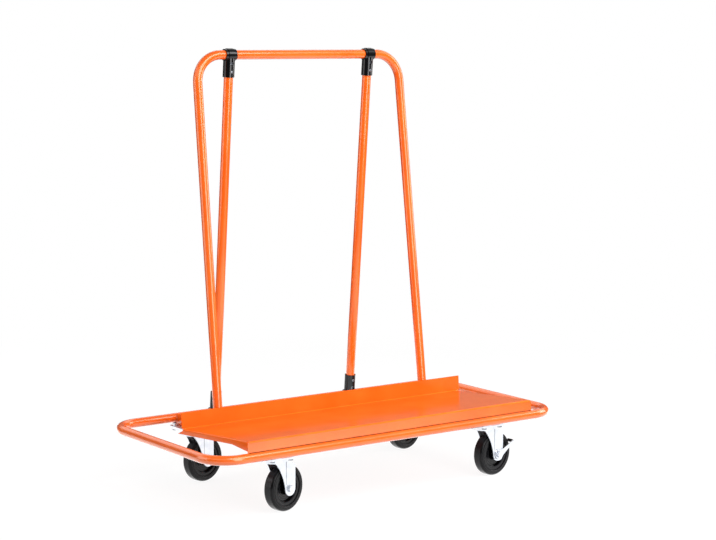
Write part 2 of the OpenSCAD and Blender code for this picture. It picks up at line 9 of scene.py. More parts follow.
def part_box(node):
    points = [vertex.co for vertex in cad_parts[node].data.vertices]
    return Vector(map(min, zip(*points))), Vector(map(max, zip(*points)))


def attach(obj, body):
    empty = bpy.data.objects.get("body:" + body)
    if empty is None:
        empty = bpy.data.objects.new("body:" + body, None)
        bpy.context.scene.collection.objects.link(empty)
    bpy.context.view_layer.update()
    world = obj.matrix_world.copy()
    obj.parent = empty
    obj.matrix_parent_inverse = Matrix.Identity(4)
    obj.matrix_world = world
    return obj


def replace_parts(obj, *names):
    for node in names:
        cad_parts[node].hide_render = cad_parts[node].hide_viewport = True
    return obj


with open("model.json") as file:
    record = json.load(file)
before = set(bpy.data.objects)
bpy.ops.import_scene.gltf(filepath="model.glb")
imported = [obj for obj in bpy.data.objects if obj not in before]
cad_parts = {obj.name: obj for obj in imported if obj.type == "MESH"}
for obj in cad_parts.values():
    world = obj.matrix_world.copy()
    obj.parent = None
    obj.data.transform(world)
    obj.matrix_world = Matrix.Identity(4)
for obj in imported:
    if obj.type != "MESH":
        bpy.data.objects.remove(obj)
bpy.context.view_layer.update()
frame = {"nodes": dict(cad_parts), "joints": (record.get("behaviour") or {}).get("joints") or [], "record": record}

mm = 0.001
nodes = frame["nodes"]
scene = bpy.context.scene
scene.view_settings.view_transform = "Standard"
casterNames = ["front_left", "front_right", "rear_left", "rear_right"]
brakedNames = ["front_right", "rear_right"]
clampNames = ["upper_left", "upper_right", "lower_left", "lower_right"]


def linear(hexColor):                      # sRGB hex to linear RGBA
    channels = [int(hexColor[i:i + 2], 16) / 255 for i in (1, 3, 5)]
    return [c / 12.92 if c <= 0.04045 else ((c + 0.055) / 1.055) ** 2.4 for c in channels] + [1.0]


def addNode(tree, kind, values=None, links=None, **settings):
    node = tree.nodes.new(kind)
    for name, value in settings.items():
        setattr(node, name, value)
    for socket, value in (values or {}).items():
        node.inputs[socket].default_value = value
    for socket, source in (links or {}).items():
        tree.links.new(source, node.inputs[socket])
    return node


def startMaterial(name):
    material = bpy.data.materials.new(name)
    material.use_nodes = True
    material.node_tree.nodes.clear()
    return material, material.node_tree


def setRamp(ramp, stops):                  # stops: (place, linear colour)
    while len(ramp.color_ramp.elements) < len(stops):
        ramp.color_ramp.elements.new(0.5)
    for element, (place, color) in zip(ramp.color_ramp.elements, stops):
        element.position = place
        element.color = color


def grey(value):
    return [value, value, value, 1.0]


# In all finishes, pattern sizes and depths are in mm, and a noise's scale is per metre

# Powder coat on steel: a smooth glossy film that mirrors its surroundings in a warm tint, with faint
# long waves from the flow of the melted powder and hardly any change of shade
powderCoat = {
    # deckLitDeep and deckLitMain are a lighter copy of the orange: painted light on the deck's top
    "deep": "#f6620f", "main": "#fd6c19", "deckLitDeep": "#fb6d15", "deckLitMain": "#fe741c",
    # seamShadeDeep and seam are dark brown for a strip of painted shade under the skirt
    "seamShadeDeep": "#743110", "seam": "#823812", "gleam": "#fff0d2",
    "filmMm": 120, "deepAt": 0.35, "mainAt": 0.6, "glossMin": 0.16, "glossMax": 0.24,
    "waveMm": 14, "waveDepthMm": 0.012, "waveBump": 0.5, "ior": 1.5,
    "tubeMirror": 0.7, "deckMirror": 0.1,
    "tubeCoat": 0.3, "deckCoat": 0.14, "edgeCoat": 1.0, "seamShadeCoat": 0.0, "coatRough": 0.1,
}


def makePowderCoat(name, mirror, coat, deep="deep", main="main"):
    p = powderCoat
    material, tree = startMaterial(name)
    place = addNode(tree, "ShaderNodeTexCoord").outputs["Object"]
    film = addNode(tree, "ShaderNodeTexNoise", {"Scale": 1000 / p["filmMm"], "Detail": 3.0},
                   {"Vector": place})
    color = addNode(tree, "ShaderNodeValToRGB", links={"Fac": film.outputs["Fac"]})
    setRamp(color, [(p["deepAt"], linear(p[deep])), (p["mainAt"], linear(p[main]))])
    rough = addNode(tree, "ShaderNodeMapRange", {"To Min": p["glossMin"], "To Max": p["glossMax"]},
                    {"Value": film.outputs["Fac"]})
    wave = addNode(tree, "ShaderNodeTexNoise", {"Scale": 1000 / p["waveMm"], "Detail": 1.0},
                   {"Vector": place})
    bump = addNode(tree, "ShaderNodeBump",
                   {"Strength": p["waveBump"], "Distance": p["waveDepthMm"] * mm},
                   {"Height": wave.outputs["Fac"]})
    shader = addNode(tree, "ShaderNodeBsdfPrincipled",
                     {"IOR": p["ior"], "Specular IOR Level": mirror, "Specular Tint": linear(p["gleam"]),
                      "Coat Weight": coat, "Coat Roughness": p["coatRough"]},
                     {"Base Color": color.outputs["Color"], "Roughness": rough.outputs["Result"],
                      "Normal": bump.outputs["Normal"]})
    addNode(tree, "ShaderNodeOutputMaterial", links={"Surface": shader.outputs["BSDF"]})
    return material


# Black stove coat on pressed shells: satin, slightly grainy
clampCoat = {
    "dark": "#070708", "light": "#101012", "darkAt": 0.3, "lightAt": 0.7,
    "grainMm": 0.8, "grainDepthMm": 0.04, "grainBump": 0.3,
    "ior": 1.5, "mirror": 0.36, "glossMin": 0.09, "glossMax": 0.15,
}


def makeClampCoat():
    p = clampCoat
    material, tree = startMaterial("satinBlackCoat")
    place = addNode(tree, "ShaderNodeTexCoord").outputs["Object"]
    grain = addNode(tree, "ShaderNodeTexNoise", {"Scale": 1000 / p["grainMm"], "Detail": 2.0},
                    {"Vector": place})
    color = addNode(tree, "ShaderNodeValToRGB", links={"Fac": grain.outputs["Fac"]})
    setRamp(color, [(p["darkAt"], linear(p["dark"])), (p["lightAt"], linear(p["light"]))])
    rough = addNode(tree, "ShaderNodeMapRange", {"To Min": p["glossMin"], "To Max": p["glossMax"]},
                    {"Value": grain.outputs["Fac"]})
    bump = addNode(tree, "ShaderNodeBump",
                   {"Strength": p["grainBump"], "Distance": p["grainDepthMm"] * mm},
                   {"Height": grain.outputs["Fac"]})
    shader = addNode(tree, "ShaderNodeBsdfPrincipled",
                     {"IOR": p["ior"], "Specular IOR Level": p["mirror"]},
                     {"Base Color": color.outputs["Color"], "Roughness": rough.outputs["Result"],
                      "Normal": bump.outputs["Normal"]})
    addNode(tree, "ShaderNodeOutputMaterial", links={"Surface": shader.outputs["BSDF"]})
    return material


# Bright zinc plate: pale silver with cloudy patches and faint rolling lines
zincPlate = {
    # dullShadePale and dullShadeCloud: a darker copy of the zinc, a duller plate on the clamp screws and painted
    # shade on the fork's leg beads and the caster bolts
    "pale": "#cccfd4", "cloud": "#bcc0c6", "dullShadePale": "#85898f", "dullShadeCloud": "#70747a",
    "cloudMm": 14, "cloudAt": 0.35, "paleAt": 0.65, "glossMin": 0.26, "glossMax": 0.44,
    "lineMm": 0.9, "lineStretch": 0.05, "lineDepthMm": 0.02, "lineBump": 0.15,
}


def makeZincPlate(name, pale, cloudy):
    p = zincPlate
    material, tree = startMaterial(name)
    place = addNode(tree, "ShaderNodeTexCoord").outputs["Object"]
    cloud = addNode(tree, "ShaderNodeTexNoise", {"Scale": 1000 / p["cloudMm"], "Detail": 4.0},
                    {"Vector": place})
    color = addNode(tree, "ShaderNodeValToRGB", links={"Fac": cloud.outputs["Fac"]})
    setRamp(color, [(p["cloudAt"], linear(p[cloudy])), (p["paleAt"], linear(p[pale]))])
    stretch = addNode(tree, "ShaderNodeMapping", {"Scale": (1.0, 1.0, p["lineStretch"])},
                      {"Vector": place})
    line = addNode(tree, "ShaderNodeTexNoise", {"Scale": 1000 / p["lineMm"], "Detail": 2.0},
                   {"Vector": stretch.outputs["Vector"]})
    rough = addNode(tree, "ShaderNodeMapRange", {"To Min": p["glossMin"], "To Max": p["glossMax"]},
                    {"Value": cloud.outputs["Fac"]})
    bump = addNode(tree, "ShaderNodeBump",
                   {"Strength": p["lineBump"], "Distance": p["lineDepthMm"] * mm},
                   {"Height": line.outputs["Fac"]})
    shader = addNode(tree, "ShaderNodeBsdfPrincipled", {"Metallic": 1.0},
                     {"Base Color": color.outputs["Color"], "Roughness": rough.outputs["Result"],
                      "Normal": bump.outputs["Normal"]})
    addNode(tree, "ShaderNodeOutputMaterial", links={"Surface": shader.outputs["BSDF"]})
    return material


# Ground bearing steel: darker and smoother than the plated sheet
bearingSteel = {
    "light": "#b9bcc0", "dark": "#9a9da2", "cloudMm": 4, "darkAt": 0.4, "lightAt": 0.6,
    "glossMin": 0.14, "glossMax": 0.26,
}


def makeBearingSteel():
    p = bearingSteel
    material, tree = startMaterial("groundBearingSteel")
    place = addNode(tree, "ShaderNodeTexCoord").outputs["Object"]
    cloud = addNode(tree, "ShaderNodeTexNoise", {"Scale": 1000 / p["cloudMm"], "Detail": 2.0},
                    {"Vector": place})
    color = addNode(tree, "ShaderNodeValToRGB", links={"Fac": cloud.outputs["Fac"]})
    setRamp(color, [(p["darkAt"], linear(p["dark"])), (p["lightAt"], linear(p["light"]))])
    rough = addNode(tree, "ShaderNodeMapRange", {"To Min": p["glossMin"], "To Max": p["glossMax"]},
                    {"Value": cloud.outputs["Fac"]})
    shader = addNode(tree, "ShaderNodeBsdfPrincipled", {"Metallic": 1.0},
                     {"Base Color": color.outputs["Color"], "Roughness": rough.outputs["Result"]})
    addNode(tree, "ShaderNodeOutputMaterial", links={"Surface": shader.outputs["BSDF"]})
    return material


# Moulded wheels: near black, with turned rings round the axle and a fine mould grain. The colour follows the
# rings, black in the troughs and lighter grey on the crests: a painted highlight
mouldedBlack = {
    "ior": 1.52, "darkAt": 0.2, "lightAt": 0.8, "ridgeHighlightAt": 0.97,
    "ringBump": 0.6, "grainBump": 0.15, "grainDepthMm": 0.04,
}
tyreRubber = {
    "dark": "#050506", "light": "#0b0b0c", "ridgeHighlight": "#1f1f22", "ringMm": 4.4, "ringDeepMm": 0.3,
    "grainMm": 0.7, "glossMin": 0.2, "glossMax": 0.3, "mirror": 0.12,
}
corePlastic = {
    "dark": "#040405", "light": "#0a0a0b", "ridgeHighlight": "#2c2c30", "ringMm": 6.2, "ringDeepMm": 0.4,
    "grainMm": 1.2, "glossMin": 0.16, "glossMax": 0.24, "mirror": 0.16,
}


def makeMouldedBlack(name, finish, axle):
    p = {**mouldedBlack, **finish}
    material, tree = startMaterial(name)
    place = addNode(tree, "ShaderNodeTexCoord").outputs["Object"]
    own = addNode(tree, "ShaderNodeMapping",
                  {"Location": axle.to_translation(), "Rotation": axle.to_euler()},
                  {"Vector": place}, vector_type="TEXTURE")
    flat = addNode(tree, "ShaderNodeVectorMath", {1: (1, 1, 0)}, {0: own.outputs["Vector"]},
                   operation="MULTIPLY")
    reach = addNode(tree, "ShaderNodeVectorMath", links={0: flat.outputs["Vector"]}, operation="LENGTH")
    phase = addNode(tree, "ShaderNodeMath", {1: 2000 * pi / p["ringMm"]}, {0: reach.outputs["Value"]},
                    operation="MULTIPLY")              # radians per metre
    ring = addNode(tree, "ShaderNodeMath", links={0: phase.outputs["Value"]}, operation="SINE")
    level = addNode(tree, "ShaderNodeMapRange", {"From Min": -1.0}, {"Value": ring.outputs["Value"]})
    # Painted highlight: the colour follows the rings, black in the troughs and lighter grey on the crests
    color = addNode(tree, "ShaderNodeValToRGB", links={"Fac": level.outputs["Result"]})
    setRamp(color, [(p[tone + "At"], linear(p[tone])) for tone in ("dark", "light", "ridgeHighlight")])
    grain = addNode(tree, "ShaderNodeTexNoise", {"Scale": 1000 / p["grainMm"], "Detail": 1.0},
                    {"Vector": place})
    rough = addNode(tree, "ShaderNodeMapRange", {"To Min": p["glossMin"], "To Max": p["glossMax"]},
                    {"Value": grain.outputs["Fac"]})
    rings = addNode(tree, "ShaderNodeBump",
                    {"Strength": p["ringBump"], "Distance": p["ringDeepMm"] * mm},
                    {"Height": level.outputs["Result"]})
    bump = addNode(tree, "ShaderNodeBump",
                   {"Strength": p["grainBump"], "Distance": p["grainDepthMm"] * mm},
                   {"Height": grain.outputs["Fac"], "Normal": rings.outputs["Normal"]})
    shader = addNode(tree, "ShaderNodeBsdfPrincipled",
                     {"IOR": p["ior"], "Specular IOR Level": p["mirror"]},
                     {"Base Color": color.outputs["Color"], "Roughness": rough.outputs["Result"],
                      "Normal": bump.outputs["Normal"]})
    addNode(tree, "ShaderNodeOutputMaterial", links={"Surface": shader.outputs["BSDF"]})
    return material


finishes = {
    "orange_powder_coat": makePowderCoat("orangePowderCoat", powderCoat["tubeMirror"],
                                         powderCoat["tubeCoat"]),
    "black_clamp_coat": makeClampCoat(),
    "zinc_plated_steel": makeZincPlate("brightZincPlate", "pale", "cloud"),
    "bearing_steel": makeBearingSteel(),
    "black_core_plastic": makeMouldedBlack("mouldedBlackNylon", corePlastic, Matrix()),
}
# A darker copy of the zinc: a duller plate on the clamp screws, painted shade along the fork creases and under the
# caster top plates
dullAndShadedZinc = makeZincPlate("dullAndShadedZincPlate", "dullShadePale", "dullShadeCloud")      # creases and fasteners
print("finishes made")

# Where things stand, read from the frame, in metres
inMm = Matrix.Scale(mm, 4)
jointPlaces = {joint["name"]: joint for joint in frame["joints"]}
railLow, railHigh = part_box("base_rear_rail")
railY, railZ = (railLow.y + railHigh.y) / 2, (railLow.z + railHigh.z) / 2
tubeR = (railHigh.z - railLow.z) / 2
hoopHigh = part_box("hoop")[1]
topY, topZ = hoopHigh.y - tubeR, hoopHigh.z - tubeR


def casterSeat(name):                      # the middle of a top plate's upper face, in mm
    x, y = jointPlaces[name + "_swivel_turn"]["pos_m"][:2]
    return Matrix.Translation((x, y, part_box(name + "_top_plate")[1].z)) @ inMm


def casterTurn(name):                      # the same, turned with the fork
    axis = jointPlaces[name + "_wheel_spin"]["axis"]
    return casterSeat(name) @ Matrix.Rotation(atan2(-axis[0], axis[1]), 4, "Z")


def wheelCentre(name):                     # the middle of a wheel, turned with the fork, in metres
    turn = casterTurn(name).to_3x3().normalized().to_4x4()
    return Matrix.Translation(jointPlaces[name + "_wheel_spin"]["pos_m"]) @ turn


def casterAxle(name):                      # the same in mm, with Z along the axle
    return wheelCentre(name) @ Matrix.Rotation(-pi / 2, 4, "X") @ inMm


def clampSeat(name):                       # a clamp's rail centre in mm, with Z along its brace
    side, low = name.split("_")[1], name.startswith("lower")
    braceLow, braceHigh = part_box(side + "_brace")
    foot = Vector(((braceLow.x + braceHigh.x) / 2, railY, railZ))
    head = Vector((foot.x, topY, topZ))
    along = (head - foot).normalized() * (1 if low else -1)
    across = Vector((1, 0, 0)) * (1 if low else -1)
    turn = Matrix((across, along.cross(across), along)).transposed().to_4x4()
    return Matrix.Translation(foot if low else head) @ turn @ inMm


def shift(x, y, z):
    return Matrix.Translation((x, y, z))


tyreFinish = {}
for name in casterNames:
    tyreFinish[name] = makeMouldedBlack(name + "_mouldedRubber", tyreRubber, casterAxle(name))
for part in frame["record"]["subparts"]:
    mesh = nodes[part["node"]].data
    mesh.materials.clear()
    if part["material_slot"] != "black_tyre_rubber":
        mesh.materials.append(finishes[part["material_slot"]])
for name in casterNames:
    nodes[name + "_tyre"].data.materials.append(tyreFinish[name])
    core = makeMouldedBlack(name + "_mouldedNylon", corePlastic, casterAxle(name))
    nodes[name + "_wheel_core"].data.materials[0] = core

# The deck's top, folds and ends take a duller coat and a lighter copy of the orange, painted light that brightens
# the top; its skirt keeps a thicker gloss and its lip the gloss of the tubes
deckFaces = {"lip": 0, "top": 1, "skirt": 2, "uprightFrom": 0.99}
deckEdge = makePowderCoat("glossOrangePowderCoat", powderCoat["tubeMirror"], powderCoat["edgeCoat"])
deckTop = makePowderCoat("litDeckOrangePowderCoat", powderCoat["deckMirror"], powderCoat["deckCoat"],
                         "deckLitDeep", "deckLitMain")
deckMesh = nodes["deck"].data
deckMesh.materials.append(deckTop)
deckMesh.materials.append(deckEdge)
for face in deckMesh.polygons:
    upright = "skirt" if face.center.y < -railY / 2 else "lip"
    side = upright if abs(face.normal.y) > deckFaces["uprightFrom"] else "top"
    face.material_index = deckFaces[side]
print("solids dressed")


def addLathe(bm, outline, place, closed=True, steps=40):    # (radius, height) points spun round Z
    known = set(bm.verts)
    loop = [bm.verts.new((radius, 0, height)) for radius, height in outline]
    edges = [bm.edges.new(pair) for pair in zip(loop, loop[1:])]
    if closed:
        edges.append(bm.edges.new((loop[-1], loop[0])))
    bmesh.ops.spin(bm, geom=loop + edges, cent=(0, 0, 0), axis=(0, 0, 1), angle=2 * pi, steps=steps,
                   use_merge=True)
    bmesh.ops.transform(bm, matrix=place, verts=[v for v in bm.verts if v not in known])


def addHexagon(bm, acrossFlats, low, high, place, corner=0.07):      # a prism with its corners turned off
    known = set(bm.verts)
    radius = acrossFlats / sqrt(3)
    stand = shift(0, 0, (low + high) / 2) @ Matrix.Rotation(pi / 6, 4, "Z")
    bmesh.ops.create_cone(bm, cap_ends=True, segments=6, radius1=radius, radius2=radius,
                          depth=high - low, matrix=stand)
    corners = [v for v in bm.verts if v not in known]
    bmesh.ops.bevel(bm, geom=corners, offset=acrossFlats * corner, affect="VERTICES", segments=1,
                    profile=0.5, material=-1)
    bmesh.ops.transform(bm, matrix=place, verts=[v for v in bm.verts if v not in known])


def finishPiece(bm, name, body, slot, finish=None, sharp=38, mergeMm=0.001):
    bmesh.ops.remove_doubles(bm, verts=bm.verts, dist=mergeMm * mm)
    bmesh.ops.recalc_face_normals(bm, faces=bm.faces)
    mesh = bpy.data.meshes.new(name)
    bm.to_mesh(mesh)
    bm.free()
    mesh.shade_smooth()
    mesh.set_sharp_from_angle(angle=radians(sharp))
    mesh.materials.append(finish or finishes[slot])
    piece = bpy.data.objects.new(name, mesh)
    scene.collection.objects.link(piece)
    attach(piece, body)
    return piece


# Fasteners with turned-off corners, washer faces and threads, drawn as rings too fine to tell from a helix.
# The first two lines are shares of a bolt's diameter, flats or pitch. gripDome is a domed socket head from
# the socket's floor to the rim, as shares of its radius and height. The rest is in mm, or steps round
screws = {
    "flats": 1.6, "washerR": 0.47, "head": 0.64, "nut": 0.8, "pitch": 0.16, "threadDeep": 0.6,
    "socketR": 0.4, "socketRimR": 0.46,
    "washerFace": 0.4, "tail": 2, "steps": 24,
    "plateX": 28, "plateY": 41, "plateGrip": 16.4, "plateT": 4, "padT": 4, "plateD": 8,
    "footD": 8, "footGrip": 39.4, "channelW": 31, "axleD": 10, "legFace": 23, "leverT": 3.4,
    "clampD": 6, "clampHeadD": 10.2, "clampHeadH": 3.6, "clampSeat": 8.8, "clampZ": 22,
    "clampHeadEdge": 0.6, "clampTipEdge": 0.5, "clampSteps": 32,
    "gripZ": 45, "gripSeat": 15.4, "gripHeadR": 3.8, "gripHeadH": 2.2, "gripSink": 0.2,
    "gripDome": [(0, -0.5), (0.36, -0.5), (0.4, -1), (0.62, -0.95), (0.86, -0.68), (1, -0.2)],
}


def addBolt(bm, d, length, place):         # the head stands below z = 0
    p = screws
    face, pitch = p["washerFace"], p["pitch"] * d
    washerR = p["flats"] * d * p["washerR"]
    addHexagon(bm, p["flats"] * d, -p["head"] * d, -face, place)
    outline = [(0, -face), (washerR, -face), (washerR, 0), (d / 2, 0)]
    turns = int((p["nut"] * d + 2 * p["tail"]) / pitch)
    for i in range(turns):
        height = length - (turns - i) * pitch
        outline += [(d / 2, height), (d / 2 - p["threadDeep"] * pitch, height + pitch / 2)]
    outline += [(d / 2 - pitch / 2, length), (0, length)]
    addLathe(bm, outline, place, closed=False, steps=p["steps"])


def addNut(bm, d, place):                  # stands on z = 0
    p = screws
    face = p["washerFace"]
    washerR = p["flats"] * d * p["washerR"]
    addHexagon(bm, p["flats"] * d, face, p["nut"] * d, place)
    addLathe(bm, [(0, 0), (washerR, 0), (washerR, face), (0, face)], place, closed=False, steps=p["steps"])


def makeCasterBolts():
    p = screws
    bolts, nuts = bmesh.new(), bmesh.new()
    for name in casterNames:
        for sx in (-1, 1):
            for sy in (-1, 1):
                seat = casterSeat(name) @ shift(sx * p["plateX"], sy * p["plateY"], 0)
                addBolt(bolts, p["plateD"], p["plateGrip"], seat @ shift(0, 0, -p["plateT"]))
                addNut(nuts, p["plateD"], seat @ shift(0, 0, p["padT"]))
    # The bolts take the darker zinc, partly as painted shade for the gap under the top plates
    boltSet = finishPiece(bolts, "casterBoltSet", "cart_frame", "zinc_plated_steel", dullAndShadedZinc)
    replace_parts(boltSet, "caster_bolts")
    nutSet = finishPiece(nuts, "casterNutSet", "cart_frame", "zinc_plated_steel")
    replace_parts(nutSet, "caster_nuts")


def makeFootBolts():
    p = screws
    bolts, nuts = bmesh.new(), bmesh.new()
    boltLow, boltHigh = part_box("foot_bolts")
    for side in ("left", "right"):
        low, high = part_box(side + "_channel")
        outward = 1 if side == "right" else -1
        centre = shift((low.x + high.x) / 2, (boltLow.y + boltHigh.y) / 2, railZ)
        inward = centre @ Matrix.Rotation(-outward * pi / 2, 4, "Y") @ inMm
        addBolt(bolts, p["footD"], p["footGrip"], inward @ shift(0, 0, -p["channelW"] / 2))
        addNut(nuts, p["footD"], inward @ shift(0, 0, p["channelW"] / 2))
    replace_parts(finishPiece(bolts, "footBoltPair", "cart_frame", "zinc_plated_steel"), "foot_bolts")
    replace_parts(finishPiece(nuts, "footNutPair", "cart_frame", "zinc_plated_steel"), "foot_nuts")


def makeAxleBolt(name):
    p = screws
    head = p["legFace"] + (p["leverT"] if name in brakedNames else 0)
    length = head + p["legFace"] + p["nut"] * p["axleD"] + p["tail"]
    bm = bmesh.new()
    addBolt(bm, p["axleD"], length, casterAxle(name) @ shift(0, 0, -head))
    addNut(bm, p["axleD"], casterAxle(name) @ shift(0, 0, p["legFace"]))
    piece = finishPiece(bm, name + "_axleBoltAndNut", name + "_swivel", "zinc_plated_steel")
    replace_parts(piece, name + "_axle_bolt")


def clampHole(name, z):                    # across a clamp, z mm from its rail along the brace
    return clampSeat(name) @ shift(0, 0, z) @ Matrix.Rotation(-pi / 2, 4, "X")


def makeClampScrews():
    p = screws
    bolts, nuts = bmesh.new(), bmesh.new()
    headR, headH, d, seat = p["clampHeadD"] / 2, p["clampHeadH"], p["clampD"], p["clampSeat"]
    edge, tip, end = p["clampHeadEdge"], p["clampTipEdge"], 2 * seat + headH
    outline = [(0, -headH / 2), (d * p["socketR"], -headH / 2), (d * p["socketRimR"], -headH),
               (headR - edge, -headH), (headR, -headH + edge), (headR, 0), (d / 2, 0),
               (d / 2, end - tip), (d / 2 - tip, end), (0, end)]
    for name in clampNames:
        hole = clampHole(name, p["clampZ"])
        addLathe(bolts, outline, hole @ shift(0, 0, -seat), closed=False, steps=p["clampSteps"])
        addHexagon(nuts, p["clampHeadD"] * sqrt(3) / 2, 0, headH, hole @ shift(0, 0, seat))
    boltSet = finishPiece(bolts, "clampScrewSet", "cart_frame", "zinc_plated_steel", dullAndShadedZinc)
    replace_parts(boltSet, "clamp_bolts")
    nutSet = finishPiece(nuts, "clampNutSet", "cart_frame", "zinc_plated_steel", dullAndShadedZinc)
    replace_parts(nutSet, "clamp_nuts")


def makeGripScrews():                      # domed socket screws that hold each sleeve on its brace
    p = screws
    bm = bmesh.new()
    headR, headH, sink = p["gripHeadR"], p["gripHeadH"], p["gripSink"]
    outline = [(headR * radius, headH * height) for radius, height in p["gripDome"]]
    outline += [(headR, sink), (0, sink)]
    for name in clampNames:
        hole = clampHole(name, p["gripZ"])
        addLathe(bm, outline, hole @ shift(0, 0, -p["gripSeat"]), closed=False, steps=p["steps"])
    finishPiece(bm, "clampGripScrewSet", "cart_frame", "zinc_plated_steel", dullAndShadedZinc)


makeCasterBolts()
makeFootBolts()
for name in casterNames:
    makeAxleBolt(name)
makeClampScrews()
makeGripScrews()
print("fasteners made")

# Weld beads: a row of overlapping drops, painted over with the frame, in mm and degrees
welds = {
    "drop": 1.7, "dropAround": 8, "dropRings": 5, "step": 1.5, "from": -70, "to": 40, "sharp": 60,
    "padStitch": 20, "padStitches": (-34, 0, 34),
    "skirtStitches": 7, "skirtStitch": 26, "sheet": 2,
    "ringOut": 0.12, "ringSink": 0.2, "ringHalf": 1.8,
    # The shadeStrip sizes are for a dark strip of painted shade along the skirt's joint with the front rail
    "shadeStripHigh": 1.8, "shadeStripOut": 0.25, "shadeStripThick": 0.75, "shadeStripShort": 4,
}


def makeDrop():                            # one drop, copied along every seam
    p = welds
    bm = bmesh.new()
    bmesh.ops.create_uvsphere(bm, u_segments=p["dropAround"], v_segments=p["dropRings"],
                              radius=p["drop"] * mm)
    mesh = bpy.data.meshes.new("weldDrop")
    bm.to_mesh(mesh)
    bm.free()
    return mesh


def addBead(bm, drop, points):
    for point in points:
        known = len(bm.verts)
        bm.from_mesh(drop)
        bm.verts.ensure_lookup_table()
        bmesh.ops.translate(bm, vec=point, verts=bm.verts[known:])


def stitch(start, along, lengthMm):        # drop places along a straight seam, centred on start
    count = int(lengthMm / welds["step"])
    return [start + along * ((i - count / 2) * welds["step"] * mm) for i in range(count + 1)]


def copeSeam(x, end):                      # drop places round a long rail, where a channel's wall meets it
    p = welds
    sweep = p["to"] - p["from"]
    count = int(radians(sweep) * tubeR / (p["step"] * mm))
    angles = [radians(p["from"] + sweep * i / count) for i in range(count + 1)]
    return [Vector((x, end * (railY - tubeR * cos(a)), railZ + tubeR * sin(a))) for a in angles]


def makeWelds():
    p = welds
    bm, drop = bmesh.new(), makeDrop()
    alongX, alongY = Vector((1, 0, 0)), Vector((0, 1, 0))
    for side in ("left", "right"):
        low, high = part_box(side + "_channel")
        for wall in (low.x, high.x):
            for end in (-1, 1):
                addBead(bm, drop, copeSeam(wall, end))
    for name in casterNames:
        y = jointPlaces[name + "_swivel_turn"]["pos_m"][1]
        low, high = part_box(name.split("_")[1] + "_channel")
        for wall in (low.x, high.x):
            for offset in p["padStitches"]:
                middle = Vector((wall, y + offset * mm, low.z))
                addBead(bm, drop, stitch(middle, alongY, p["padStitch"]))
    low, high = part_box("deck")
    for i in range(p["skirtStitches"]):
        x = low.x + (high.x - low.x) * (i + 0.5) / p["skirtStitches"]
        middle = Vector((x, -railY + p["sheet"] * mm, railZ + tubeR))
        addBead(bm, drop, stitch(middle, alongX, p["skirtStitch"]))
    bpy.data.meshes.remove(drop)
    finishPiece(bm, "frameWeldBeads", "cart_frame", "orange_powder_coat", sharp=p["sharp"])


def makeSeamRings():                       # where the long rails meet the bows
    p = welds
    bm = bmesh.new()
    out, sunk, half = tubeR / mm + p["ringOut"], tubeR / mm - p["ringSink"], p["ringHalf"]
    ring = [(sunk, -half), (out, -half / 2), (out, half / 2), (sunk, half)]
    for node in ("base_front_rail", "base_rear_rail"):
        low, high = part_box(node)
        for x in (low.x, high.x):
            end = shift(x, (low.y + high.y) / 2, railZ)
            addLathe(bm, ring, end @ Matrix.Rotation(pi / 2, 4, "Y") @ inMm)
    finishPiece(bm, "loopSeamRings", "cart_frame", "orange_powder_coat", sharp=p["sharp"])


def makeSkirtShadeStrip():                       # a strip of painted shade along the joint between the skirt and the front rail
    p = welds
    bm = bmesh.new()
    low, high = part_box("deck")
    length, tall, out = high.x - low.x - p["shadeStripShort"] * mm, p["shadeStripHigh"] * mm, p["shadeStripOut"] * mm
    size = Matrix.Diagonal((length, p["shadeStripThick"] * mm, tall, 1))
    spot = shift(0, low.y - out / 2, railZ + tubeR + tall / 2)
    bmesh.ops.create_cube(bm, size=1, matrix=spot @ size)
    bmesh.ops.bevel(bm, geom=list(bm.edges), offset=out / 2, affect="EDGES", segments=2,
                    profile=0.5, material=-1)
    # Painted shade: the strip takes a dark brown paint
    paint = makePowderCoat("seamPaintedShadePaint", powderCoat["deckMirror"], powderCoat["seamShadeCoat"],
                           "seamShadeDeep", "seam")
    finishPiece(bm, "skirtPaintedShadeStrip", "cart_frame", "orange_powder_coat", paint)


makeWelds()
makeSeamRings()
makeSkirtShadeStrip()
print("welds made")

# Caster trim: a dust lip round the ball race, a pressed bead down each fork leg, moulding lines on the
# tyre. The lip's and the lines' outlines are (radius, height) in mm, a bead's is (across, outward)
casterTrim = {
    "lip": [(28.1, -4.0), (29.0, -4.0), (29.3, -6.0), (28.9, -6.6), (28.1, -6.6)], "lipSteps": 64,
    "bead": [(-1.3, -0.3), (-0.78, 0.44), (0, 0.55), (0.78, 0.44), (1.3, -0.3)],
    "beadX": 27.4, "legFace": 23, "beadTop": -19, "beadLow": -80, "beadTaper": 0.5,
    "treadLine": [(62.2, -0.9), (62.7, -0.3), (62.7, 0.3), (62.2, 0.9)],
    "wallLine": [(55.3, 15.35), (55.9, 16.2), (56.5, 16.2), (57.1, 15.15)], "tyreSteps": 96,
}


